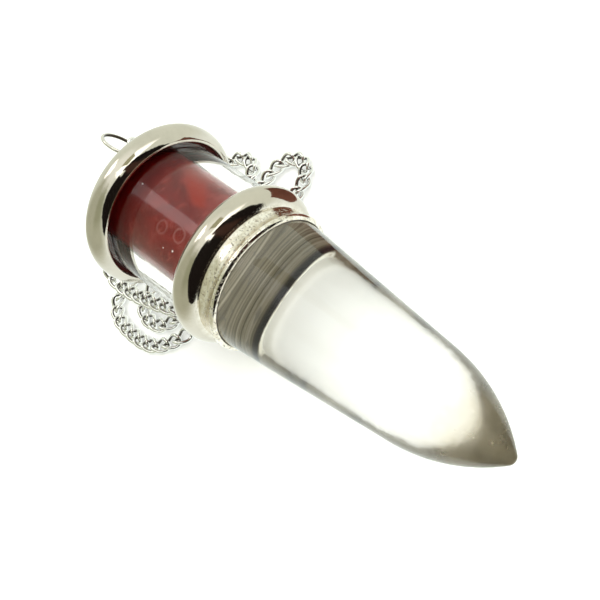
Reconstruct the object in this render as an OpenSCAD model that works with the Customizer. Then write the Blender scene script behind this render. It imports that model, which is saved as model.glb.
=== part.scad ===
// Bottle pendant lying on a flat surface: a metal cap with a bent wire eye, a short glass tube
// with a red filling, a beaded metal collar, a clear bullet-shaped crystal and a fine curb chain.
// Lengths are in millimetres and angles in degrees. The pendant is turned about its own axis,
// pendant_x, which runs from the cap to the tip and is zero at the collar's lower edge. It is then
// tilted tip down until the crystal touches the floor at z = 0 and the chain lies under the tube.
// The model's x runs along the pendant towards the tip, and the origin is on the floor below the
// middle of the whole part.

/* [Pose] */
// Angle by which the tip points down while the chain carries the cap's end
tilt = 10; // [9:0.5:12]

/* [Cap] */
// Outer diameter of the cap's round bead
cap_d = 22.9; // [22.1:0.1:24.3]
// Thickness of the cap's bead
cap_bead = 4.4; // [4:0.1:4.8]
// Distance of the bead's middle behind the cap's mouth
mouth_pos = 1.95; // [1.8:0.05:2.1]
// Gap around the glass tube in the cap's mouth
mouth_gap = 0.6; // [0.4:0.05:0.7]
// Depth of that gap
mouth_depth = 1; // [0.6:0.1:1.4]
// Depth to which the glass tube reaches into the cap
cap_seat = 3.2; // [2.8:0.1:3.6]
// Height of the low crown behind the bead
crown_rise = 1.75; // [1.2:0.05:2.2]

/* [Wire eye] */
// Radius of the loop, to the middle of the wire
eye_r = 2.57; // [2.4:0.01:2.8]
// Thickness of the loop's wire
eye_wire = 0.5; // [0.4:0.05:0.6]
// Distance of the loop's middle behind the crown
eye_reach = 6.3; // [5.8:0.1:7]
// Sideways offset of the loop's middle from the axis
eye_side = 3.35; // [3:0.05:3.6]
// Offset of the loop's middle above the axis
eye_rise = 2.2; // [1.8:0.1:2.6]
// Lean of the loop's plane away from the pendant's own horizontal
eye_lean = 67; // [60:1:75]
// Turn of the loop's plane about the upright
eye_turn = 82; // [75:1:88]
// Thickness of the wire between the crown and the loop
shank_wire = 0.44; // [0.34:0.02:0.5]
// Radius of the solder drop at the crown
solder_r = 0.75; // [0.5:0.05:1]

/* [Glass tube] */
// Outer diameter of the glass tube
tube_d = 18.7; // [18:0.1:19.2]
// Wall of the glass tube
tube_wall = 2.1; // [1.6:0.1:2.4]
// Whole length of the glass tube with both seats
tube_len = 17.7; // [16.6:0.1:19.6]

/* [Red filling] */
// Air between the filling and the glass
fill_air = 0.25; // [0.15:0.05:0.4]
// Slant of the filling's end face below the cap
fill_slant = 8; // [5:1:12]
// Depth of the filling's slanted face on the axis, from the cap's end of the tube
fill_drop = 0.5; // [0.3:0.1:1]

/* [Collar] */
// Outer diameter of the collar's bead
collar_d = 21.5; // [20.8:0.1:23]
// Thickness of the collar's bead
collar_bead = 4.3; // [3.9:0.1:4.7]
// Length of the collar from the bead's top to the lower edge
collar_len = 7.1; // [6.8:0.1:7.8]
// Smallest diameter of the waisted neck below the bead
neck_d = 18.2; // [18.16:0.02:18.4]
// Distance of the waist from the lower edge
neck_pos = 2.3; // [2.1:0.1:2.6]
// Metal between the neck and the inner end of the crystal's seat
neck_wall = 0.35; // [0.3:0.05:0.5]
// Diameter of the flared lower lip
skirt_d = 18.9; // [18.86:0.02:19.3]
// Rounding radius of the lower lip
lip_r = 0.5; // [0.45:0.01:0.55]
// Metal between the seats of the crystal and the glass tube
collar_web = 2; // [1.6:0.1:2.4]

/* [Crystal] */
// Diameter of the crystal where it leaves the collar
crystal_d = 17.6; // [17:0.1:17.6]
// Depth to which the crystal sits in the collar
crystal_seat = 2.6; // [2:0.1:2.7]
// Length of the slightly tapered part
cone_len = 23.4; // [20:0.1:25]
// Diameter at which the rounded nose starts
nose_d = 12.5; // [12:0.1:13]
// Length of the crystal outside the collar
crystal_len = 35.6; // [34:0.1:37]
// Rounding radius of the tip
tip_r = 1; // [0.6:0.1:1.4]

/* [Chain] */
// Half length of a link, to the middle of the wire
link_a = 1.45; // [1.4:0.01:1.5]
// Half width of a link, to the middle of the wire
link_b = 0.95; // [0.9:0.01:0.98]
// Thickness of the link's wire
link_wire = 0.52; // [0.46:0.01:0.56]
// Squareness of a link's outline
link_power = 2.4; // [2.2:0.1:2.6]
// Twist of each end of a link
link_twist = 54; // [52:1:58]
// Distance from one link to the next
link_pitch = 1.95; // [1.9:0.01:2]
// Sides of a link's outline
link_sides = 10; // [10:1:16]
// Sides of the link's wire
wire_sides = 5; // [5:1:6]

/* [Fit] */
// Clearance between parts that sit in each other
clear = 0.1; // [0.05:0.01:0.15]
// Clearance between the wire eye and the end of the first link that hangs in it
hang_clear = 0.4; // [0.3:0.05:0.45]
// Clearance of the chain's lowest links above the floor
floor_clear = 0.02; // [0.01:0.01:0.05]

/* [Hidden] */
$fn = 96;

// Places along the pendant's axis
web_x = -crystal_seat - clear;
glass_seat_x = web_x - collar_web;
tube_end_x = glass_seat_x - clear;
tube_cap_x = tube_end_x - tube_len;
cap_seat_x = tube_cap_x - clear;
cap_front_x = cap_seat_x + cap_seat;
cap_bead_x = cap_front_x - mouth_pos;
crown_x = cap_bead_x - cap_bead / 2 - crown_rise;

// Cap and collar. The crown ends at the bead's back, and the waist's arc crosses the lip's round by
// a hair, so that the two meet at a clear edge.
tube_bore_d = tube_d + 2 * clear;
cap_ring_r = (cap_d - cap_bead) / 2;
crown_r = (cap_ring_r * cap_ring_r + crown_rise * crown_rise) / (2 * crown_rise);
bead_x = -collar_len + collar_bead / 2;
lip_cross = 0.004;
bead_ring_r = (collar_d - collar_bead) / 2;
lip_ring_r = skirt_d / 2 - lip_r;
waist_meet = lip_r - lip_cross;
waist_run = neck_pos - lip_r;
waist_drop = neck_d / 2 - lip_ring_r;
waist_gain = waist_run * waist_run + waist_drop * waist_drop - waist_meet * waist_meet;
waist_r = waist_gain / (2 * (waist_meet - waist_drop));
waist_ring_r = neck_d / 2 + waist_r;
lip_join_x = -lip_r - lip_r * waist_run / (waist_r + lip_r);
lip_join_r = lip_ring_r + lip_r * (waist_ring_r - lip_ring_r) / (waist_r + lip_r);

// Crystal: the nose is an arc that leaves the taper smoothly and meets the round tip
crystal_bore_r = crystal_d / 2 + clear;
seat_end_r = neck_d / 2 - neck_wall - clear;
nose_r = nose_d / 2;
taper = atan((crystal_d / 2 - nose_r) / cone_len);
tip_x = crystal_len - tip_r;
nose_run = tip_x - cone_len;
nose_gain = nose_run * nose_run + nose_r * nose_r - tip_r * tip_r;
arc_r = nose_gain / (2 * (cos(taper) * nose_r - sin(taper) * nose_run - tip_r));
arc_x = cone_len - arc_r * sin(taper);
arc_y = nose_r - arc_r * cos(taper);
tip_way = [tip_x - arc_x, -arc_y] / norm([tip_x - arc_x, -arc_y]);
tip_join = [tip_x, 0] + tip_r * tip_way;

// Height of the pendant's own origin above the floor, with the nose's arc on the floor
rest_z = arc_x * sin(tilt) + arc_y * cos(tilt) + arc_r;

// Wire eye, in the pendant's own directions
eye_mid = [crown_x - eye_reach, eye_side, eye_rise];
eye_axis = [sin(eye_lean) * cos(eye_turn), sin(eye_lean) * sin(eye_turn), cos(eye_lean)];
shank_root = [crown_x + solder_r / 2, 0, 0];
shank_tip = on_loop(shank_root - eye_mid);
chain_pull = [-0.4, 0.33, -0.85] / norm([-0.4, 0.33, -0.85]);
hang_point = on_loop(to_pendant(chain_pull));

// Chain: a floor strand's middle height, and the few chosen points of its route from the eye, each
// with x and y on the floor and its height over a floor strand
strand_z = floor_clear + max([for (p = link_mesh()) p[2]]);
route = [
    [-34.4, 4.0, 11.2], [-36.2, -0.6, 9.6], [-36.0, -6.4, 6.4], [-35.6, -12.9, 3.2],
    [-30.0, -13.4, 2.4], [-23.0, -11.9, 2.4], [-17.2, -10.2, 2.1], [-15.0, -5.5, 0],
    [-15.4, 2.0, 0], [-15.4, 9.0, 0], [-14.9, 15.4, 0], [-18.6, 17.6, 0],
    [-22.3, 15.1, 0], [-21.4, 8.5, 0], [-20.0, 0.0, 0], [-19.4, -7.0, 0],
    [-19.3, -12.2, 0], [-22.6, -15.3, 0], [-28.2, -14.0, 0], [-28.2, -8.0, 0],
    [-24.2, 0.0, 0], [-23.9, 6.5, 0], [-23.9, 11.5, 0], [-27.4, 13.9, 0],
    [-31.7, 11.1, 0], [-30.2, 4.5, 0], [-28.6, -2.0, 0], [-31.5, -9.0, 0],
    [-34.1, -14.2, 0], [-30.5, -17.8, 0], [-25.5, -17.7, 0], [-20.2, -17.6, 0],
    [-16.9, -13.8, 0], [-15.6, -10.6, 0]
];
first_offset = link_a - link_wire / 2 - eye_wire / 2 - hang_clear - link_pitch / 2;
chain_start = to_floor(hang_point) + first_offset * chain_pull;
chain_points = concat([chain_start, chain_start, chain_start, chain_start + 2 * chain_pull],
    [for (p = route) p + [0, 0, strand_z]], [for (i = [0:1]) route[len(route) - 1] + [0, 0, strand_z]]);
route_steps = 16;
route_path = [for (i = [0:len(chain_points) - 4], k = [0:route_steps - 1])
    spline_point(i, k / route_steps)];
route_run = [for (i = 0, s = 0; i < len(route_path);
    s = s + (i + 1 < len(route_path) ? norm(route_path[i + 1] - route_path[i]) : 0), i = i + 1) s];
x_table = [for (i = [0:len(route_path) - 1]) [route_run[i], route_path[i][0]]];
y_table = [for (i = [0:len(route_path) - 1]) [route_run[i], route_path[i][1]]];
z_table = [for (i = [0:len(route_path) - 1]) [route_run[i], route_path[i][2]]];
link_count = floor(route_run[len(route_run) - 1] / link_pitch);
chain_joints = [for (k = [0:link_count]) route_at(k * link_pitch)];
chain_frames = [for (k = [0:link_count - 1]) link_frame(chain_joints[k], chain_joints[k + 1])];

// Middle of the whole part on the floor
link_points = link_mesh();
chain_cloud = [for (f = chain_frames, p = link_points) f[0] + f[1] * p[0] + f[2] * p[1] + f[3] * p[2]];
front_x = to_floor([tip_x, 0, 0])[0] + tip_r;
middle_x = (front_x + min([for (p = chain_cloud) p[0]])) / 2;
middle_y = (max([for (p = chain_cloud) p[1]]) + min([for (p = chain_cloud) p[1]])) / 2;

// A point of the pendant's own frame, on the floor frame, and a direction the other way
function to_floor(p) = [p[0] * cos(tilt) + p[2] * sin(tilt), p[1],
    p[2] * cos(tilt) - p[0] * sin(tilt) + rest_z];
function to_pendant(v) = [v[0] * cos(tilt) - v[2] * sin(tilt), v[1], v[0] * sin(tilt) + v[2] * cos(tilt)];

// The loop's point that lies farthest in a direction
function on_loop(v) = let (w = v - (v * eye_axis) * eye_axis) eye_mid + eye_r * w / norm(w);

// A smooth curve through the chain's chosen points
function spline_point(i, t) = ((1 - t) * (1 - t) * (1 - t) * chain_points[i]
    + (3 * t * t * t - 6 * t * t + 4) * chain_points[i + 1]
    + (3 * t * t - 3 * t * t * t + 3 * t + 1) * chain_points[i + 2]
    + t * t * t * chain_points[i + 3]) / 6;
function route_at(s) = [lookup(s, x_table), lookup(s, y_table), lookup(s, z_table)];

// Place and directions of a link between two joints: middle, along, across and over
function link_frame(p, q) = let (
        along = (q - p) / norm(q - p),
        up = [0, 0, 1] - along[2] * along,
        over = up / norm(up))
    [(p + q) / 2, along, cross(over, along), over];

// Outline of a twisted oval link, and the points of its wire
function rounded(v) = sign(v) * pow(abs(v), 2 / link_power);
function link_outline(t) = let (x = link_a * rounded(cos(t)), y = link_b * rounded(sin(t)),
        turn = link_twist * x / link_a) [x, y * cos(turn), y * sin(turn)];
function link_mesh() = [for (i = [0:link_sides - 1]) let (
        t = i * 360 / link_sides,
        p = link_outline(t),
        run = link_outline(t + 9) - link_outline(t - 9),
        way = run / norm(run),
        out = p - (p * way) * way,
        side = out / norm(out),
        flat = cross(way, side))
    for (k = [0:wire_sides - 1]) p + link_wire / 2
        * (cos(k * 360 / wire_sides) * side + sin(k * 360 / wire_sides) * flat)];
function mesh_index(i, k) = (i % link_sides) * wire_sides + k % wire_sides;
link_faces = [for (i = [0:link_sides - 1], k = [0:wire_sides - 1], half = [0:1])
    half == 0 ? [mesh_index(i, k), mesh_index(i + 1, k), mesh_index(i + 1, k + 1)]
        : [mesh_index(i, k), mesh_index(i + 1, k + 1), mesh_index(i, k + 1)]];

// Puts the pendant's own frame on the floor
module lying() {
    translate([-middle_x, -middle_y, rest_z])
        rotate([0, tilt, 0])
            children();
}

// Turns a half section about the pendant's axis: the section's x is the radius, its y the axis
module turned() {
    rotate([0, 90, 0])
        rotate_extrude()
            children();
}

// A box of a half section, from one place on the axis to another and between two radii
module band(from_x, to_x, inner_r, outer_r) {
    translate([inner_r, from_x])
        square([outer_r - inner_r, to_x - from_x]);
}

module cap_section() {
    difference() {
        union() {
            translate([cap_ring_r, cap_bead_x])
                circle(d = cap_bead);
            intersection() {
                band(crown_x, cap_bead_x, 0, cap_ring_r);
                translate([0, crown_x + crown_r])
                    circle(r = crown_r, $fn = 360);
            }
        }
        band(cap_seat_x, cap_front_x + clear, -clear, tube_bore_d / 2);
        band(cap_front_x - mouth_depth, cap_front_x + clear, 0, tube_d / 2 + mouth_gap);
        band(cap_front_x, cap_front_x + cap_bead, 0, cap_d);
    }
}

module wire_eye() {
    translate(eye_mid)
        rotate([0, eye_lean, eye_turn])
            rotate_extrude()
                translate([eye_r, 0])
                    circle(d = eye_wire);
    shank = shank_tip - shank_root;
    translate(shank_root)
        rotate([0, acos(shank[2] / norm(shank)), atan2(shank[1], shank[0])])
            cylinder(h = norm(shank), d = shank_wire);
    translate([crown_x + solder_r / 3, 0, 0])
        sphere(r = solder_r);
}

module cap() {
    color([0.78, 0.75, 0.7])
        lying() {
            turned() cap_section();
            wire_eye();
        }
}

module glass_tube() {
    color([0.93, 0.95, 0.94, 0.35])
        lying()
            turned()
                band(tube_cap_x, tube_end_x, tube_d / 2 - tube_wall, tube_d / 2);
}

module red_filling() {
    fill_r = tube_d / 2 - tube_wall - fill_air;
    slant_x = tube_cap_x + fill_drop;
    color([0.42, 0.14, 0.13])
        lying()
            difference() {
                turned()
                    band(tube_cap_x + clear, tube_end_x - clear, 0, fill_r);
                translate([slant_x, 0, 0])
                    rotate([0, 0, -fill_slant])
                        translate([-tube_len, 0, -tube_d / 2])
                            cube([tube_len, tube_d, tube_d]);
            }
}

// Round of the waist: a hollow below a wider lip, or a swelling above a narrower one
module waist_round() {
    translate([waist_ring_r, -neck_pos])
        circle(r = abs(waist_r));
}

module collar_section() {
    difference() {
        union() {
            translate([bead_ring_r, bead_x])
                circle(d = collar_bead);
            difference() {
                band(bead_x, -lip_r, 0, lip_join_r);
                if (waist_r > 0)
                    waist_round();
            }
            if (waist_r < 0)
                intersection() {
                    band(bead_x, lip_join_x, 0, neck_d);
                    waist_round();
                }
            translate([lip_ring_r, -lip_r])
                circle(r = lip_r);
        }
        band(-collar_len - clear, glass_seat_x, 0, tube_bore_d / 2);
        polygon([[0, web_x], [seat_end_r + clear, web_x], [crystal_bore_r, 0], [crystal_bore_r, clear],
            [0, clear]]);
    }
}

module collar() {
    color([0.76, 0.72, 0.66])
        lying()
            turned() collar_section();
}

module crystal_section() {
    polygon([[0, -crystal_seat], [seat_end_r, -crystal_seat], [crystal_d / 2, 0],
        [nose_r, cone_len], [0, cone_len]]);
    intersection() {
        translate([arc_y, arc_x])
            circle(r = arc_r, $fn = 360);
        polygon([[0, cone_len], [crystal_d, cone_len], [crystal_d, tip_join[0]], [0, tip_join[0]]]);
    }
    intersection() {
        translate([0, tip_x])
            circle(r = tip_r);
        band(tip_join[0], crystal_len + tip_r, 0, crystal_d);
    }
}

module crystal() {
    color([0.92, 0.92, 0.9, 0.5])
        lying()
            turned() crystal_section();
}

module chain_link() {
    polyhedron(points = link_points, faces = link_faces);
}

module chain() {
    color([0.8, 0.79, 0.77])
        translate([-middle_x, -middle_y, 0])
            for (f = chain_frames)
                multmatrix([
                    [f[1][0], f[2][0], f[3][0], f[0][0]],
                    [f[1][1], f[2][1], f[3][1], f[0][1]],
                    [f[1][2], f[2][2], f[3][2], f[0][2]]])
                    chain_link();
}

cap();
glass_tube();
red_filling();
collar();
crystal();
chain();
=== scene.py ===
import math

import bpy
import numpy as np
from mathutils import Matrix, Vector


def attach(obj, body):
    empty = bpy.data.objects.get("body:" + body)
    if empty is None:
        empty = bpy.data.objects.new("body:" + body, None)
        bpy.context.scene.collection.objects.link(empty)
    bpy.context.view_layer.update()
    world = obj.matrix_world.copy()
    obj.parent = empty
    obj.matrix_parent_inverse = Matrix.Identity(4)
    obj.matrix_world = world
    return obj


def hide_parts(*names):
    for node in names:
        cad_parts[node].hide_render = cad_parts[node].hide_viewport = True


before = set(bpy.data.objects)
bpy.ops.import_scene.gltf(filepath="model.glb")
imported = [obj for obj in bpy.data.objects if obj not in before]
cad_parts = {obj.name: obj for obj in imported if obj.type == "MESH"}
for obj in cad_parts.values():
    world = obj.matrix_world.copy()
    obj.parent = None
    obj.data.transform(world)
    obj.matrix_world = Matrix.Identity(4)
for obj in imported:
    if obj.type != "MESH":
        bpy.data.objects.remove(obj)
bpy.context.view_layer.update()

# Sizes of the pendant in millimetres, as in the part's source
MM = 0.001
TILT = math.radians(10)
REST_Z = 10.2629
MIDDLE = (-1.0345, -0.5267)
CAP_RING_R, CAP_BEAD_R, CAP_BEAD_X = 9.25, 2.2, -21.35
CAP_MOUTH_X, MOUTH_R, MOUTH_DEPTH = -19.4, 9.95, 1.0
CAP_SEAT_X, CROWN_X, CROWN_RISE = -22.6, -25.3, 1.75
TUBE_R, TUBE_BORE_R, TUBE_CAP_X, TUBE_END_X = 9.35, 7.25, -22.5, -4.8
FILL_R, FILL_SLANT, FILL_DROP = 7.0, math.radians(8), 0.5
SEAT_R = 9.45
BEAD_X, BEAD_RING_R, BEAD_R = -4.95, 8.6, 2.15
NECK_R, NECK_X, LIP_RING_R, LIP_R = 9.1, -2.3, 8.95, 0.5
GLASS_SEAT_X, CRYSTAL_SEAT_X = -4.7, -2.7
CRYSTAL_R, CRYSTAL_BACK_X, CRYSTAL_BACK_R = 8.8, -2.6, 8.65
CONE_X, NOSE_R, TIP_X, TIP_R = 23.4, 6.25, 34.6, 1.0
CLEAR = 0.1
EYE_R, EYE_WIRE_R, SHANK_R = 2.57, 0.25, 0.22
EYE_MID = (-31.6, 3.35, 2.2)
EYE_LEAN, EYE_TURN = math.radians(67), math.radians(82)

# Millimetres round the filling for each degree
DEGREE_MM = 0.12

# The pendant's own frame in the row frame: x along its axis to the tip, zero at the collar's edge
PENDANT = (
    Matrix.Translation((-MIDDLE[0] * MM, -MIDDLE[1] * MM, REST_Z * MM))
    @ Matrix.Rotation(TILT, 4, "Y")
    @ Matrix.Scale(MM, 4)
)


# Nodes

class Tree:
    """The nodes of a material or world, added by type with their inputs given by name."""

    def __init__(self, name, world=None):
        self.mat = world or bpy.data.materials.new(name)
        self.mat.use_nodes = True
        self.nt = self.mat.node_tree
        self.shader = self.nt.nodes.get("Principled BSDF")

    def set(self, node, key, value):
        socket = node.inputs[key]
        if isinstance(value, bpy.types.NodeSocket):
            self.nt.links.new(value, socket)
        else:
            socket.default_value = value

    def add(self, kind, settings=None, **inputs):
        node = self.nt.nodes.new("ShaderNode" + kind)
        for key, value in (settings or {}).items():
            setattr(node, key, value)
        for key, value in inputs.items():
            numbered = key[0] == "i" and key[1:].isdigit()
            self.set(node, int(key[1:]) if numbered else key.replace("_", " "), value)
        return node

    def math(self, op, a, b=0.0, c=0.0):
        return self.add("Math", {"operation": op}, i0=a, i1=b, i2=c).outputs[0]

    def product(self, a, b, *more):
        result = self.math("MULTIPLY", a, b)
        for value in more:
            result = self.math("MULTIPLY", result, value)
        return result

    def length(self, a, b):
        return self.math("SQRT", self.math("ADD", self.product(a, a), self.product(b, b)))

    def noise(self, vector, scale, detail=3.0, rough=0.5, distortion=0.0):
        node = self.add("TexNoise", Scale=scale, Detail=detail, Roughness=rough, Distortion=distortion)
        self.set(node, "Vector", vector)
        return node.outputs["Fac"]

    def wandering(self, vector, place, amount):
        """A vector that drifts a little with the place, for rings that are not quite round."""
        drift = self.add("VectorMath", {"operation": "SCALE"}, i0=place, Scale=amount).outputs[0]
        return self.add("VectorMath", {"operation": "ADD"}, i0=vector, i1=drift).outputs[0]

    def ramp(self, fac, stops, mode="LINEAR"):
        node = self.add("ValToRGB", Fac=fac)
        ramp = node.color_ramp
        ramp.interpolation = mode
        while len(ramp.elements) < len(stops):
            ramp.elements.new(0.5)
        for element, (place, colour) in zip(ramp.elements, stops):
            element.position = place
            element.color = (*colour, 1) if len(colour) == 3 else colour
        return node.outputs[0]

    def steps(self, value, low, high):
        node = self.add("MapRange", {"interpolation_type": "SMOOTHSTEP"}, Value=value)
        self.set(node, "From Min", low)
        self.set(node, "From Max", high)
        return node.outputs[0]

    def span(self, value, low, high):
        node = self.add("MapRange", Value=value)
        self.set(node, "To Min", low)
        self.set(node, "To Max", high)
        return node.outputs[0]

    def mix(self, fac, a, b, blend="MIX"):
        node = self.add("Mix", {"data_type": "RGBA", "blend_type": blend})
        self.set(node, 0, fac)
        self.set(node, 6, a if isinstance(a, bpy.types.NodeSocket) else (*a, 1))
        self.set(node, 7, b if isinstance(b, bpy.types.NodeSocket) else (*b, 1))
        return node.outputs[2]

    def bump(self, height, strength, distance, normal=None):
        node = self.add("Bump", Strength=strength, Distance=distance, Height=height)
        if normal is not None:
            self.set(node, "Normal", normal)
        return node.outputs[0]

    def pendant(self):
        """Place in the pendant's own frame in millimetres, as a vector and as x, y, z."""
        turn = Matrix.Rotation(-TILT, 3, "Y")
        shift = -(turn @ Vector((-MIDDLE[0], -MIDDLE[1], REST_Z)))
        coords = self.add("TexCoord").outputs["Object"]
        node = self.add("Mapping", Vector=coords)
        node.inputs["Scale"].default_value = (1 / MM, 1 / MM, 1 / MM)
        node.inputs["Rotation"].default_value = (0, -TILT, 0)
        node.inputs["Location"].default_value = shift
        parts = self.add("SeparateXYZ", Vector=node.outputs[0]).outputs
        return node.outputs[0], parts[0], parts[1], parts[2]

    def out(self, **inputs):
        for key, value in inputs.items():
            self.set(self.shader, key.replace("_", " "), value)
        return self.mat


# Materials

def metal(name, tint, dull, pitted=False, seat=None, wire_shade_layer=None):
    """Polished plated metal with faint waves and clouded spots. Pitted metal has pits near the lower edge
    and a neck tinted lighter in blotches, partly mottled wear and partly painted sheen. A seat is coloured
    from one place on the axis to another below a radius, in two colours: a cement stain in the collar's
    socket, painted dark red shade in the cap's recess. The wire shade layer names the attribute that says
    how much of a wire's side is painted dark as shade."""
    t = Tree(name)
    place, x, y, z = t.pendant()
    cloud = t.noise(place, 0.35, 4, 0.6)
    fine = t.noise(place, 2.6, 5, 0.65)
    rough = t.math("ADD", t.span(cloud, dull * 0.4, dull * 1.4), t.span(fine, -0.03, 0.05))
    colour = t.mix(t.steps(cloud, 0.35, 0.7), tint, tuple(c * 0.93 for c in tint))
    height = t.product(t.noise(place, 0.8, 2), 0.02)
    metallic = 1.0
    if pitted:
        low = t.steps(x, -3.4, -0.4)
        neck = t.steps(x, -3.2, -2.6)
        blotches = t.steps(t.noise(place, 0.9, 4, 0.65), 0.38, 0.6)
        # Partly painted sheen: the neck's lighter blotchy tint stands in for its bright reflections, over
        # real mottled wear.
        mottled_wear_and_sheen = t.mix(blotches, (1.0, 0.95, 0.86), (0.82, 0.75, 0.63))
        colour = t.mix(neck, colour, mottled_wear_and_sheen)
        rough = t.math("ADD", rough, t.product(neck, t.span(fine, -0.06, 0.14)))
        pits = t.steps(t.noise(place, 3.2, 2, 0.5), 0.60, 0.68)
        pits = t.product(pits, low)
        height = t.math("SUBTRACT", height, t.product(pits, 0.12))
        colour = t.mix(t.product(pits, 0.7), colour, (0.25, 0.18, 0.12))
        rough = t.math("ADD", rough, t.product(pits, 0.3))
    if seat:
        far = t.length(y, z)
        start, end, radius, stain_and_shade_colours = seat
        within = t.product(t.steps(x, start - 0.02, start), t.steps(x, end, end - 0.02))
        inside = t.product(t.steps(far, radius + 0.01, radius - 0.01), within)
        section = t.add("CombineXYZ", X=t.product(x, 1.6), Y=t.product(far, 1.6)).outputs[0]
        rings = t.noise(t.wandering(section, place, 0.06), 1.6, 4, 0.7)
        # Stain and shade in rings: a real cement stain in the collar's socket, painted dark red shade in the
        # cap's recess.
        stain_and_shade = t.mix(t.steps(rings, 0.35, 0.65), *stain_and_shade_colours)
        colour = t.mix(inside, colour, stain_and_shade)
        metallic = t.math("SUBTRACT", 1.0, t.product(inside, 0.85))
        rough = t.math("ADD", rough, t.product(inside, 0.4))
        t.set(t.shader, "Specular IOR Level", 0.08)
    if wire_shade_layer:
        # Painted shade: the side of the wire that the layer names is darkened.
        wire_shade = t.add("VertexColor", {"layer_name": wire_shade_layer}).outputs["Color"]
        colour = t.mix(t.steps(wire_shade, 0.3, 0.9), colour, (0.075, 0.06, 0.05))
    return t.out(Base_Color=colour, Metallic=metallic, Roughness=rough, Normal=t.bump(height, 1.0, MM))


def tube_glass():
    t = Tree("clear_tube_glass")
    place = t.pendant()[0]
    smear = t.steps(t.noise(place, 0.5, 4, 0.6, 0.6), 0.45, 0.8)
    rough = t.span(smear, 0.0, 0.05)
    height = t.product(t.noise(place, 0.25, 1), 0.05)
    colour = t.mix(smear, (1.0, 1.0, 1.0), (0.97, 0.97, 0.96))
    return t.out(Base_Color=colour, Roughness=rough, IOR=1.3, Transmission_Weight=1.0,
                 Normal=t.bump(height, 0.5, MM))


def crystal_glass():
    t = Tree("clear_crystal")
    place, x, y, z = t.pendant()
    ragged = t.noise(place, 0.45, 4, 0.6)
    edge = t.math("ADD", x, t.span(ragged, -3.0, 3.0))
    painted_nose_shade = t.steps(edge, 24.0, 33.0)
    streaks = t.add("VectorMath", {"operation": "MULTIPLY"}, i0=place, i1=(0.06, 0.5, 0.5)).outputs[0]
    colour = t.mix(t.steps(t.noise(streaks, 1.0, 3), 0.4, 0.7), (0.995, 0.995, 0.985), (0.945, 0.94, 0.925))
    # Painted shade: the nose is tinted darker and warmer, standing in for the shade inside the tip.
    colour = t.mix(painted_nose_shade, colour, (0.70, 0.615, 0.44))
    height = t.product(t.noise(place, 0.3, 2), 0.04)
    uneven = t.product(t.noise(place, 1.1, 3, 0.6), t.steps(x, 14.0, 24.0))
    height = t.math("ADD", height, t.product(uneven, 0.05))
    haze = t.noise(place, 0.7, 4, 0.65)
    rough = t.product(t.steps(x, 1.0, 9.0), t.span(haze, 0.03, 0.15))
    rough = t.math("ADD", rough, t.product(t.steps(x, 22.0, 30.0), t.span(haze, 0.04, 0.24)))
    return t.out(Base_Color=colour, Roughness=rough, IOR=1.5, Transmission_Weight=1.0,
                 Normal=t.bump(height, 0.4, MM))


def seat_cement():
    """Olive cement on the crystal's seated end, in rings, with a dark line at the seat's mouth."""
    t = Tree("olive_seat_cement")
    place, x, y, z = t.pendant()
    far = t.length(y, z)
    above = t.math("SUBTRACT", z, 12.0)
    arcs = t.length(y, above)
    section = t.add("CombineXYZ", X=x, Y=arcs).outputs[0]
    rings = t.noise(t.wandering(section, place, 0.05), 0.95, 4, 0.7)
    colour = t.ramp(rings, [(0.36, (0.07, 0.055, 0.036)), (0.5, (0.19, 0.163, 0.112)),
                            (0.64, (0.38, 0.34, 0.265))])
    spots = t.steps(t.noise(place, 1.2, 3, 0.6), 0.56, 0.7)
    colour = t.mix(t.product(spots, 0.6), colour, (0.12, 0.11, 0.10))
    mouth = t.product(t.steps(x, -1.15, -0.5), t.steps(far, 8.0, 8.3))
    colour = t.mix(mouth, colour, (0.014, 0.010, 0.016))
    return t.out(Base_Color=colour, Roughness=t.span(rings, 0.5, 0.8), Normal=t.bump(rings, 0.2, 0.0002))


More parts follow.
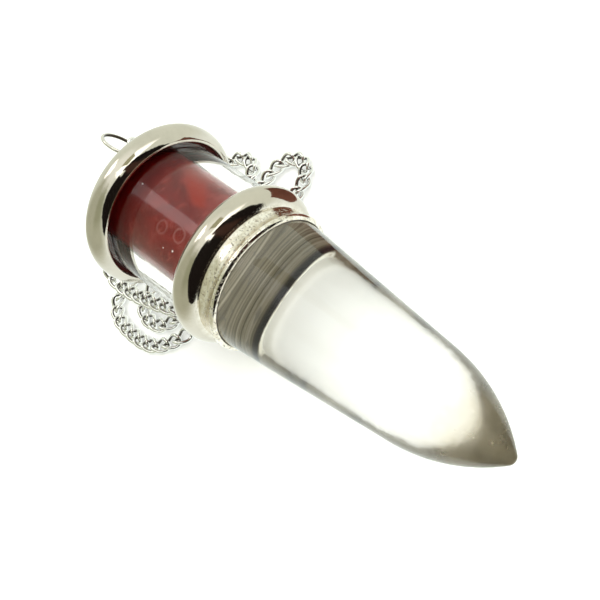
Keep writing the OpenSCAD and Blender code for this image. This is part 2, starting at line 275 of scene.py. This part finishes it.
def filling_resin():
    """Dark red resin with cloudy streaks and a brighter patch, painted shade near the cap, painted light
    rings at two bubbles' edges and painted glints.
    """
    t = Tree("dark_red_resin")
    place, x, y, z = t.pendant()
    az = t.product(t.math("ARCTAN2", y, z), 180 / math.pi)

    def inside(points):
        """Mask of a convex outline given as (azimuth, x) points, the same way round."""
        mask = None
        for (a0, x0), (a1, x1) in zip(points, points[1:] + points[:1]):
            size = math.hypot((a1 - a0) * DEGREE_MM, x1 - x0)
            nx, na = (a1 - a0) * DEGREE_MM / size, -(x1 - x0) / size * DEGREE_MM
            side = t.math("ADD", t.product(t.math("SUBTRACT", x, x0), nx),
                          t.product(t.math("SUBTRACT", az, a0), na))
            step = t.steps(side, -0.3, 0.7)
            mask = step if mask is None else t.product(mask, step)
        return mask

    def away(a0, x0):
        """Distance on the surface from a place given as azimuth and x."""
        return t.length(t.product(t.math("SUBTRACT", az, a0), DEGREE_MM), t.math("SUBTRACT", x, x0))

    def ring(a0, x0, radius):
        return t.steps(t.math("ABSOLUTE", t.math("SUBTRACT", away(a0, x0), radius)), 0.22, 0.05)

    def spot(a0, x0, radius):
        return t.steps(away(a0, x0), radius, radius * 0.5)

    cloud = t.noise(place, 0.22, 4, 0.6, 0.8)
    fine = t.noise(place, 1.1, 4, 0.6, 0.4)
    colour = t.ramp(cloud, [(0.3, (0.105, 0.006, 0.005)), (0.5, (0.165, 0.010, 0.008)),
                            (0.7, (0.24, 0.018, 0.014))])
    colour = t.mix(t.steps(fine, 0.52, 0.75), colour, (0.28, 0.045, 0.035))
    bright_patch = inside([(44, -17.4), (64, -15.4), (40, -11.6), (20, -9.0), (16, -11.4)])
    bright_patch_fade = t.product(bright_patch, t.math("ADD", t.steps(az, 62, 24), t.span(fine, -0.1, 0.5)))
    colour = t.mix(t.math("MINIMUM", bright_patch_fade, 1.0), colour, (0.27, 0.017, 0.007))
    ragged = t.math("ADD", x, t.span(cloud, -3.0, 3.0))
    patch = t.steps(t.math("ADD", t.product(az, 0.02), ragged), -10.0, -7.5)
    colour = t.mix(t.product(patch, 0.35), colour, (0.34, 0.085, 0.075))
    # Painted reflections: two light rings at the edges of bubbles.
    colour = t.mix(t.product(ring(-16, -13.0, 0.75), 0.22), colour, (0.40, 0.18, 0.16))
    colour = t.mix(t.product(ring(-13, -10.0, 0.8), 0.3), colour, (0.40, 0.18, 0.16))
    colour = t.mix(t.product(spot(27, -7.0, 1.1), 0.6), colour, (0.16, 0.055, 0.03))
    # Painted shade: the filling darkens to deep red towards the cap, where the cap's shadow and dark
    # reflection fall.
    colour = t.mix(t.product(t.steps(x, -17.4, -18.9), 0.9), colour, (0.12, 0.001, 0.001))
    colour = t.mix(t.product(spot(61, -11.0, 0.3), 0.6), colour, (0.03, 0.008, 0.008))
    # Painted highlights: tiny pale glints.
    for place_az, place_x, size in ((-29, -10.0, 0.17), (6, -19.3, 0.12), (-32, -11.6, 0.1)):
        colour = t.mix(spot(place_az, place_x, size), colour, (0.95, 0.85, 0.82))
    height = t.product(t.noise(place, 0.6, 3), 0.06)
    t.set(t.shader, "Specular IOR Level", 0.12)
    return t.out(Base_Color=colour, Roughness=0.3, IOR=1.45, Normal=t.bump(height, 0.5, MM))


def floor_paper():
    t = Tree("white_floor")
    place = t.add("TexCoord").outputs["Object"]
    grain = t.noise(place, 900.0, 3)
    colour = t.mix(grain, (0.93, 0.93, 0.93), (0.96, 0.96, 0.96))
    t.set(t.shader, "Emission Color", (1, 1, 1, 1))
    return t.out(Base_Color=colour, Roughness=0.9, Emission_Strength=0.12, Normal=t.bump(grain, 0.05, 0.0001))


# Meshes

def new_piece(name, verts, faces, mat, slot=None, sharp=35):
    mesh = bpy.data.meshes.new(name)
    mesh.from_pydata([tuple(v) for v in verts], [], faces)
    mesh.validate()
    mesh.polygons.foreach_set("use_smooth", [True] * len(mesh.polygons))
    mesh.set_sharp_from_angle(angle=math.radians(sharp))
    mesh.materials.append(mat)
    obj = bpy.data.objects.new(name, mesh)
    bpy.context.scene.collection.objects.link(obj)
    if slot:
        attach(obj, "root")
    return obj


def paint_wire_shade(obj, values):
    """Keeps how much each point of a wire is painted dark as shade, by its side of the wire."""
    layer = obj.data.color_attributes.new("hollow", "FLOAT_COLOR", "POINT")
    layer.data.foreach_set("color", [c for v in values for c in (v, v, v, 1.0)])


def arc(mid_x, mid_r, radius, start, end, count):
    """Points of an arc in the half section, where 0 degrees points to the tip and 90 outwards."""
    steps = np.radians(np.linspace(start, end, count))
    return [(mid_x + radius * math.cos(a), mid_r + radius * math.sin(a)) for a in steps]


def line(a, b, count):
    return [(a[0] + (b[0] - a[0]) * k / count, a[1] + (b[1] - a[1]) * k / count) for k in range(1, count)]


def turned(section, seg=200, shape=None):
    """Turns a half section, given as points (x, radius) from axis to axis or closed, about the axis."""
    closed = section[0][1] > 1e-6
    verts, rings = [], []
    for x, r in section:
        if r < 1e-6:
            rings.append([len(verts)])
            verts.append((x, 0.0, 0.0))
            continue
        ring = []
        for k in range(seg):
            a = 2 * math.pi * k / seg
            ring.append(len(verts))
            verts.append((x, r * math.cos(a), r * math.sin(a)))
        rings.append(ring)
    if shape:
        verts = [shape(Vector(v)) for v in verts]
    faces = []
    pairs = list(zip(rings, rings[1:])) + ([(rings[-1], rings[0])] if closed else [])
    for a, b in pairs:
        for k in range(seg):
            j = (k + 1) % seg
            if len(a) == 1:
                faces.append((a[0], b[j], b[k]))
            elif len(b) == 1:
                faces.append((a[k], a[j], b[0]))
            else:
                faces.append((a[k], a[j], b[j], b[k]))
    return [PENDANT @ Vector(v) for v in verts], faces


def tube_along(points, radius, sides, closed=False):
    """A round wire along points in the pendant's frame."""
    count = len(points)
    points = [Vector(p) for p in points]
    verts, faces, side = [], [], None
    for i, p in enumerate(points):
        after = points[(i + 1) % count] if closed or i + 1 < count else p
        before = points[i - 1] if closed or i else p
        way = (after - before).normalized()
        side = way.orthogonal() if side is None else side - way * side.dot(way)
        side.normalize()
        other = way.cross(side)
        for k in range(sides):
            a = 2 * math.pi * k / sides
            verts.append(p + radius * (math.cos(a) * side + math.sin(a) * other))
    for i in range(count if closed else count - 1):
        for k in range(sides):
            a, b = i * sides, ((i + 1) % count) * sides
            j = (k + 1) % sides
            faces.append((a + k, a + j, b + j, b + k))
    if not closed:
        faces.append(tuple(range(sides))[::-1])
        faces.append(tuple((count - 1) * sides + k for k in range(sides)))
    return [PENDANT @ v for v in verts], faces


# Cap

# The cap's recess is painted dark red as shade.
nickel = metal("warm_polished_nickel", (0.67, 0.62, 0.54), 0.06,
               seat=(-23.0, CAP_MOUTH_X - 0.15, MOUTH_R, ((0.05, 0.005, 0.004), (0.15, 0.022, 0.014))))
nickel_pitted = metal("warm_pitted_nickel", (0.67, 0.615, 0.53), 0.08, True,
                      (CRYSTAL_SEAT_X, -0.03, CRYSTAL_R + CLEAR, ((0.10, 0.082, 0.055), (0.28, 0.25, 0.18))))
plain_nickel = metal("plain_polished_nickel", (0.80, 0.77, 0.71), 0.04, wire_shade_layer="hollow")

crown_r = (CAP_RING_R ** 2 + CROWN_RISE ** 2) / (2 * CROWN_RISE)
crown_edge = math.degrees(math.asin(CAP_RING_R / crown_r))
mouth = math.degrees(math.acos((CAP_MOUTH_X - CAP_BEAD_X) / CAP_BEAD_R))
recess_x = CAP_MOUTH_X - MOUTH_DEPTH
cap_section = [(CAP_SEAT_X, 0.0), (CAP_SEAT_X, SEAT_R), (recess_x, SEAT_R), (recess_x, MOUTH_R)]
cap_section += arc(CAP_MOUTH_X - 0.1, MOUTH_R + 0.1, 0.1, -90, 0, 5)
cap_section += arc(CAP_BEAD_X, CAP_RING_R, CAP_BEAD_R, mouth, 180, 48)
cap_section += arc(CROWN_X + crown_r, 0, crown_r, 180 - crown_edge, 180, 16)[1:-1] + [(CROWN_X, 0.0)]
cap_body = new_piece("cap_body", *turned(cap_section), nickel, "cap_metal")
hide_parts("cap")

eye_turn = Matrix.Rotation(EYE_TURN, 3, "Z") @ Matrix.Rotation(EYE_LEAN, 3, "Y")
eye_axis = eye_turn @ Vector((0, 0, 1))
eye_ring = [Vector(EYE_MID) + eye_turn @ Vector((EYE_R * math.cos(a), EYE_R * math.sin(a), 0))
            for a in np.linspace(0, 2 * math.pi, 72, endpoint=False)]
eye_verts, eye_faces = tube_along(eye_ring, EYE_WIRE_R, 14, closed=True)
root = Vector((CROWN_X + 0.375, 0, 0))
way = (root - Vector(EYE_MID))
way -= eye_axis * way.dot(eye_axis)
joint = Vector(EYE_MID) + EYE_R * way.normalized()
shank_verts, shank_faces = tube_along([root.lerp(joint, k / 12) for k in range(13)], SHANK_R, 14)
solder_section = [(CROWN_X - 0.55, 0.0), (CROWN_X - 0.48, 0.24), (CROWN_X - 0.3, 0.5), (CROWN_X - 0.05, 0.68),
                  (CROWN_X + 0.25, 0.75), (CROWN_X + 0.4, 0.7), (CROWN_X + 0.4, 0.0)]
solder_verts, solder_faces = turned(solder_section, 32)
eye_faces += [tuple(i + len(eye_verts) for i in f) for f in shank_faces]
eye_verts += shank_verts
eye_faces += [tuple(i + len(eye_verts) for i in f) for f in solder_faces]
eye_verts += solder_verts
wire_eye = new_piece("wire_eye", eye_verts, eye_faces, plain_nickel, "cap_metal")
# Painted shade on one side of the eye's wire.
paint_wire_shade(wire_eye, [max(0.0, math.cos(2 * math.pi * (i % 14) / 14 - 2.2)) * (i < 72 * 14)
                        for i in range(len(eye_verts))])

# Glass tube and filling

TUBE_EDGE = 0.15
first, last = TUBE_CAP_X + TUBE_EDGE, TUBE_END_X - TUBE_EDGE
tube_section = [(TUBE_CAP_X, TUBE_BORE_R + TUBE_EDGE), (TUBE_CAP_X, TUBE_R - TUBE_EDGE), (first, TUBE_R)]
tube_section += line((first, TUBE_R), (last, TUBE_R), 8) + [(last, TUBE_R)]
tube_section += [(TUBE_END_X, TUBE_R - TUBE_EDGE), (TUBE_END_X, TUBE_BORE_R + TUBE_EDGE)]
tube_section += [(last, TUBE_BORE_R)] + line((last, TUBE_BORE_R), (first, TUBE_BORE_R), 8)
tube_section += [(first, TUBE_BORE_R)]
tube = new_piece("tube", *turned(tube_section), tube_glass(), "tube_glass")
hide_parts("glass_tube")


def slanted(v):
    """Moves the filling's cap end onto its slanted face."""
    limit = TUBE_CAP_X + FILL_DROP + math.tan(FILL_SLANT) * v.y
    return Vector((max(v.x, limit), v.y, v.z))


first, last = TUBE_CAP_X + 0.1, TUBE_END_X - 0.1
fill_section = [(first, 0.0)] + line((first, 0.0), (first, FILL_R), 24) + [(first, FILL_R)]
fill_section += line((first, FILL_R), (last, FILL_R), 60) + [(last, FILL_R)]
fill_section += line((last, FILL_R), (last, 0.0), 6) + [(last, 0.0)]
filling = new_piece("filling", *turned(fill_section, 160, slanted), filling_resin(), "filling", 30)
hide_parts("red_filling")

# Collar

waist_run, waist_drop = -NECK_X - LIP_R, NECK_R - LIP_RING_R
waist_r = (waist_run ** 2 + waist_drop ** 2 - LIP_R ** 2) / (2 * (LIP_R - waist_drop))
waist_mid_r = NECK_R + waist_r
bead_start = 180 - math.degrees(math.asin((SEAT_R - BEAD_RING_R) / BEAD_R))
gap_x, gap_r = NECK_X - BEAD_X, waist_mid_r - BEAD_RING_R
gap = math.hypot(gap_x, gap_r)
along = (gap ** 2 + BEAD_R ** 2 - waist_r ** 2) / (2 * gap)
across = math.sqrt(BEAD_R ** 2 - along ** 2)
meet = (BEAD_X + (along * gap_x + across * gap_r) / gap, BEAD_RING_R + (along * gap_r - across * gap_x) / gap)
bead_end = math.degrees(math.atan2(meet[1] - BEAD_RING_R, meet[0] - BEAD_X))
waist_start = math.degrees(math.atan2(meet[1] - waist_mid_r, meet[0] - NECK_X))
lip_way = math.degrees(math.atan2(waist_mid_r - LIP_RING_R, NECK_X + LIP_R))
collar_section = [(GLASS_SEAT_X, 0.0), (GLASS_SEAT_X, SEAT_R)]
collar_section += arc(BEAD_X, BEAD_RING_R, BEAD_R, bead_start, bead_end, 48)
collar_section += arc(NECK_X, waist_mid_r, waist_r, waist_start, lip_way - 180, 24)[1:]
collar_section += arc(-LIP_R, LIP_RING_R, LIP_R, lip_way, 0, 16)[1:]
collar_section += [(0.0, CRYSTAL_R + CLEAR), (CRYSTAL_SEAT_X, CRYSTAL_BACK_R + CLEAR), (CRYSTAL_SEAT_X, 0.0)]
collar_body = new_piece("collar_body", *turned(collar_section, 240), nickel_pitted, "collar_metal")
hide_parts("collar")

# Crystal

taper = math.atan((CRYSTAL_R - NOSE_R) / CONE_X)
run = TIP_X - CONE_X
spare = math.cos(taper) * NOSE_R - math.sin(taper) * run - TIP_R
arc_r = (run ** 2 + NOSE_R ** 2 - TIP_R ** 2) / (2 * spare)
arc_x, arc_y = CONE_X - arc_r * math.sin(taper), NOSE_R - arc_r * math.cos(taper)
tip_turn = math.degrees(math.atan2(-arc_y, TIP_X - arc_x))
crystal_section = [(CRYSTAL_BACK_X, 0.0), (CRYSTAL_BACK_X, CRYSTAL_BACK_R - 0.2),
                   (CRYSTAL_BACK_X + 0.2, CRYSTAL_BACK_R)]
crystal_section += [(0.0, CRYSTAL_R)] + line((0.0, CRYSTAL_R), (CONE_X, NOSE_R), 20)
crystal_section += arc(arc_x, arc_y, arc_r, 90 - math.degrees(taper), tip_turn, 48)
crystal_section += arc(TIP_X, 0.0, TIP_R, tip_turn, 0, 14)[1:-1] + [(TIP_X + TIP_R, 0.0)]
crystal_body = new_piece("crystal_body", *turned(crystal_section, 220), crystal_glass(), "crystal_glass", 25)
crystal_body.data.materials.append(seat_cement())
seated = PENDANT.inverted()
for face in crystal_body.data.polygons:
    if (seated @ face.center).x < -0.02:
        face.material_index = 1
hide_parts("crystal")
crystal_body.visible_shadow = tube.visible_shadow = crystal_body.visible_diffuse = False

# Chain: the same route and the same twisted links as in the part, with rounder wire

LINK_A, LINK_B, LINK_WIRE, LINK_PITCH = 1.45, 0.95, 0.52, 1.95
LINK_POWER, LINK_TWIST = 2.4, math.radians(54)
HANG_CLEAR, STRAND_Z = 0.4, 0.7006
PULL = Vector((-0.4, 0.33, -0.85)).normalized()
ROUTE = [
    (-34.4, 4.0, 11.2), (-36.2, -0.6, 9.6), (-36.0, -6.4, 6.4), (-35.6, -12.9, 3.2),
    (-30.0, -13.4, 2.4), (-23.0, -11.9, 2.4), (-17.2, -10.2, 2.1), (-15.0, -5.5, 0),
    (-15.4, 2.0, 0), (-15.4, 9.0, 0), (-14.9, 15.4, 0), (-18.6, 17.6, 0),
    (-22.3, 15.1, 0), (-21.4, 8.5, 0), (-20.0, 0.0, 0), (-19.4, -7.0, 0),
    (-19.3, -12.2, 0), (-22.6, -15.3, 0), (-28.2, -14.0, 0), (-28.2, -8.0, 0),
    (-24.2, 0.0, 0), (-23.9, 6.5, 0), (-23.9, 11.5, 0), (-27.4, 13.9, 0),
    (-31.7, 11.1, 0), (-30.2, 4.5, 0), (-28.6, -2.0, 0), (-31.5, -9.0, 0),
    (-34.1, -14.2, 0), (-30.5, -17.8, 0), (-25.5, -17.7, 0), (-20.2, -17.6, 0),
    (-16.9, -13.8, 0), (-15.6, -10.6, 0),
]


def spline(points, steps=16):
    """The smooth curve that the part's source draws through the chain's chosen points."""
    path = []
    for a, b, c, d in zip(points, points[1:], points[2:], points[3:]):
        for k in range(steps):
            t = k / steps
            path.append((a * (1 - t) ** 3 + b * (3 * t ** 3 - 6 * t ** 2 + 4)
                         + c * (3 * t ** 2 - 3 * t ** 3 + 3 * t + 1) + d * t ** 3) / 6)
    return path


def chain_frames():
    """Middle, along, across and over of each link, in millimetres on the floor."""
    tilt = Matrix.Rotation(TILT, 3, "Y")
    pull = tilt.transposed() @ PULL
    flat = pull - eye_axis * pull.dot(eye_axis)
    hang = tilt @ (Vector(EYE_MID) + EYE_R * flat.normalized()) + Vector((0, 0, REST_Z))
    offset = LINK_A - LINK_WIRE / 2 - EYE_WIRE_R - HANG_CLEAR - LINK_PITCH / 2
    start = hang + offset * PULL
    points = [start] * 3 + [start + 2 * PULL] + [Vector(p) + Vector((0, 0, STRAND_Z)) for p in ROUTE]
    path = spline(points + points[-1:] * 2)
    run = np.concatenate([[0], np.cumsum([(b - a).length for a, b in zip(path, path[1:])])])
    count = int(run[-1] / LINK_PITCH)
    joints = np.stack([np.interp(np.arange(count + 1) * LINK_PITCH, run, [p[k] for p in path])
                       for k in range(3)], 1)
    for p, q in zip(joints, joints[1:]):
        p, q = Vector(p), Vector(q)
        way = (q - p).normalized()
        over = (Vector((0, 0, 1)) - way.z * way).normalized()
        yield (p + q) / 2, way, over.cross(way), over


def link_loop(sides, wire_sides):
    """Points of one twisted link's wire, in its own frame."""
    def place(a):
        bend = [math.copysign(abs(v) ** (2 / LINK_POWER), v) for v in (math.cos(a), math.sin(a))]
        x, y, turn = LINK_A * bend[0], LINK_B * bend[1], LINK_TWIST * bend[0]
        return Vector((x, y * math.cos(turn), y * math.sin(turn)))
    loop = []
    for k in range(sides):
        a = 2 * math.pi * (k + 0.5) / sides
        p = place(a)
        way = (place(a + 0.05) - place(a - 0.05)).normalized()
        side = (p - way * p.dot(way)).normalized()
        other = way.cross(side)
        for j in range(wire_sides):
            b = 2 * math.pi * j / wire_sides
            loop.append(p + LINK_WIRE / 2 * (math.cos(b) * side + math.sin(b) * other))
    return loop


silver = metal("bright_silver", (0.93, 0.92, 0.90), 0.04, wire_shade_layer="hollow")
SIDES, WIRE_SIDES = 24, 8
loop = link_loop(SIDES, WIRE_SIDES)
chain_verts, chain_faces = [], []
for mid, way, across_way, over in chain_frames():
    first = len(chain_verts)
    for p in loop:
        v = mid + p.x * way + p.y * across_way + p.z * over
        chain_verts.append(((v.x - MIDDLE[0]) * MM, (v.y - MIDDLE[1]) * MM, v.z * MM))
    for i in range(SIDES):
        for k in range(WIRE_SIDES):
            a, b = i * WIRE_SIDES, (i + 1) % SIDES * WIRE_SIDES
            j = (k + 1) % WIRE_SIDES
            chain_faces.append(tuple(first + n for n in (a + k, b + k, b + j, a + j)))
chain_links = new_piece("chain_links", chain_verts, chain_faces, silver, "chain_metal", 60)
# Painted shade on the inner side of each link's wire.
paint_wire_shade(chain_links, [max(0.0, -math.cos(2 * math.pi * (i % WIRE_SIDES) / WIRE_SIDES))
                           for i in range(len(chain_verts))])
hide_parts("chain")

# Floor, light and camera

floor = new_piece("floor", [(-0.6, -0.6, -0.00003), (0.6, -0.6, -0.00003), (0.6, 0.6, -0.00003),
                            (-0.6, 0.6, -0.00003)], [(0, 1, 2, 3)], floor_paper())
floor.visible_glossy = False

scene = bpy.context.scene
scene.view_settings.view_transform = "Standard"
scene.view_settings.look = "None"
scene.cycles.max_bounces = 24
scene.cycles.transmission_bounces = 20
scene.cycles.glossy_bounces = 8
scene.cycles.diffuse_bounces = 4
scene.cycles.sample_clamp_indirect = 6

CAM_RIGHT = Vector((0.700583, 0.586663, -0.406214))
CAM_DOWN = Vector((0.504394, -0.809815, -0.299642))
CAM_AHEAD = Vector((-0.504748, 0.005032, -0.863252))
CAM_AT = Vector((58.308, 0.0, 92.473))
turn = PENDANT.to_3x3() * (1 / MM)


def area(name, at, to, size, power, colour=(1, 1, 1)):
    light = bpy.data.lights.new(name, "AREA")
    light.shape = "RECTANGLE"
    light.size, light.size_y = size
    light.energy = power
    light.color = colour
    obj = bpy.data.objects.new(name, light)
    obj.location = at
    obj.rotation_euler = (Vector(to) - Vector(at)).to_track_quat("-Z", "Y").to_euler()
    scene.collection.objects.link(obj)
    return obj


top = area("top_softbox", (-0.05, 0.0, 0.45), (0, 0, 0), (0.5, 0.5), 0.95, (0.97, 0.98, 1.0))
top.visible_glossy = top.visible_transmission = False


def studio_world():
    """Soft surroundings by direction: bright ahead and above, a lamp behind, a grey -Y side."""
    world = bpy.data.worlds.new("studio")
    t = Tree("studio", world)
    way = t.add("SeparateXYZ", Vector=t.add("TexCoord").outputs["Generated"]).outputs
    az = t.product(t.math("ARCTAN2", way[1], way[0]), 180 / math.pi)
    el = t.product(t.math("ARCSINE", way[2]), 180 / math.pi)

    def patch(low_az, high_az, low_el, high_el, soft):
        sides = [t.steps(az, low_az - soft, low_az + soft), t.steps(az, high_az + soft, high_az - soft),
                 t.steps(el, low_el - soft, low_el + soft), t.steps(el, high_el + soft, high_el - soft)]
        return t.product(*sides)

    colour = t.mix(t.steps(el, 40, 78), (0.90, 0.95, 0.84), (1.16, 1.19, 1.12))
    colour = t.mix(t.steps(el, -14, -38), colour, (1.12, 1.2, 1.14))
    colour = t.mix(patch(-160, -50, -16, 70, 13), colour, (0.56, 0.58, 0.45))
    colour = t.mix(patch(-100, -52, 20, 62, 14), colour, (0.42, 0.44, 0.31))
    rise = t.math("ADD", el, t.product(az, 0.35))
    strip = t.product(t.steps(rise, 44, 52), t.steps(rise, 84, 72))
    strip = t.product(strip, t.product(t.steps(az, -14, -4), t.steps(az, 80, 58)))
    colour = t.mix(strip, colour, (2.2, 2.2, 2.1))
    behind = t.math("ABSOLUTE", az)
    lamp = t.product(t.steps(behind, 162, 168), t.product(t.steps(el, 46, 50), t.steps(el, 74, 66)))
    colour = t.mix(lamp, colour, (2.8, 2.7, 2.6))
    direct = t.add("LightPath").outputs["Is Camera Ray"]
    colour = t.mix(direct, colour, (1.0, 1.0, 1.0))
    t.set(world.node_tree.nodes["Background"], "Color", colour)
    return world


scene.world = studio_world()


def camera_side(name, mid, mat):
    """A dark rounded shade on the camera's side, which shows only in reflections and through glass."""
    verts, faces, rows, cols = [], [], 24, 32
    for i in range(rows + 1):
        el = -28 + 100 * i / rows
        far = 0.056 + 0.03 * min(max((el - 25) / 35, 0), 1)
        for k in range(cols + 1):
            az = -82 + 144 * k / cols
            a, e = math.radians(az), math.radians(el)
            flat = far * math.cos(e)
            verts.append((flat * math.cos(a), flat * math.sin(a), far * math.sin(e)))
    for i in range(rows):
        for k in range(cols):
            a = i * (cols + 1) + k
            faces.append((a, a + 1, a + cols + 2, a + cols + 1))
    obj = new_piece(name, verts, faces, mat)
    obj.location = mid
    obj.visible_camera = obj.visible_diffuse = obj.visible_shadow = False
    return obj


def shade_material():
    """Black with a brown streak, clear beyond a rounded outline."""
    t = Tree("camera_side_shade")
    place = t.add("TexCoord").outputs["Object"]
    way = t.add("SeparateXYZ", Vector=place).outputs
    flat = t.length(way[0], way[1])
    az = t.product(t.math("ARCTAN2", way[1], way[0]), 180 / math.pi)
    el = t.product(t.math("ARCTAN2", way[2], flat), 180 / math.pi)
    ragged = t.product(t.math("SUBTRACT", t.noise(place, 60.0, 2), 0.5), 14.0)
    across = t.math("ADD", t.math("ADD", az, 5.0), t.product(t.math("SUBTRACT", el, 20.0), 0.12))
    side = t.math("POWER", t.math("DIVIDE", t.math("ABSOLUTE", t.math("ADD", across, ragged)), 57.0), 2.6)
    high = t.math("POWER", t.math("DIVIDE", t.math("ABSOLUTE", t.math("SUBTRACT", el, 20.0)), 43.0), 2.6)
    cover = t.steps(t.math("ADD", side, high), 1.1, 0.94)
    notch = t.product(t.steps(t.math("ABSOLUTE", t.math("SUBTRACT", az, 6.0)), 8.0, 5.0), t.steps(el, 46, 52))
    cover = t.product(cover, t.math("SUBTRACT", 1.0, notch))
    after = t.math("MINIMUM", t.add("LightPath").outputs["Diffuse Depth"], 1.0)
    cover = t.product(cover, t.math("SUBTRACT", 1.0, after))
    streak = t.product(t.steps(az, 4, 14), t.steps(az, 32, 22))
    colour = t.mix(t.product(streak, t.steps(el, -10, 10)), (0.012, 0.009, 0.008), (0.06, 0.03, 0.022))
    bright_patch_fade = t.add("Emission", Color=colour, Strength=1.0)
    clear = t.add("BsdfTransparent")
    both = t.add("MixShader")
    t.set(both, 0, cover)
    t.nt.links.new(clear.outputs[0], both.inputs[1])
    t.nt.links.new(bright_patch_fade.outputs[0], both.inputs[2])
    t.nt.links.new(both.outputs[0], t.nt.nodes["Material Output"].inputs["Surface"])
    return t.mat


def side_card(name, corners, low, high):
    """A small card that shows only in reflections."""
    t = Tree(name)
    grain = t.noise(t.add("TexCoord").outputs["Object"], 150.0, 3)
    card = new_piece(name, corners, [(0, 1, 2, 3)], t.out(Base_Color=t.mix(grain, low, high), Roughness=0.9))
    card.visible_camera = card.visible_diffuse = card.visible_shadow = card.visible_transmission = False


side_card("warm_side_card", [(-0.014, 0.021, 0.0), (0.005, 0.0225, 0.0), (0.003, 0.0225, 0.0135),
                             (-0.010, 0.021, 0.0155)], (0.16, 0.05, 0.035), (0.26, 0.10, 0.07))
side_card("olive_side_card", [(-0.006, 0.008, 0.066), (0.014, 0.016, 0.066), (0.012, 0.030, 0.066),
                              (-0.008, 0.028, 0.066)], (0.30, 0.29, 0.19), (0.42, 0.40, 0.28))
camera_side("camera_side_shade", PENDANT @ Vector((-8, 0, 0)), shade_material())

cam_world = PENDANT @ CAM_AT
cam = bpy.data.cameras.new("camera")
cam.sensor_width = 36
cam.lens = 36 * 908.99 / 600
cam.clip_start = 0.005
camera = bpy.data.objects.new("camera", cam)
axes = Matrix((turn @ CAM_RIGHT, -(turn @ CAM_DOWN), -(turn @ CAM_AHEAD))).transposed()
camera.matrix_world = Matrix.Translation(cam_world) @ axes.to_4x4()
scene.collection.objects.link(camera)
scene.camera = camera
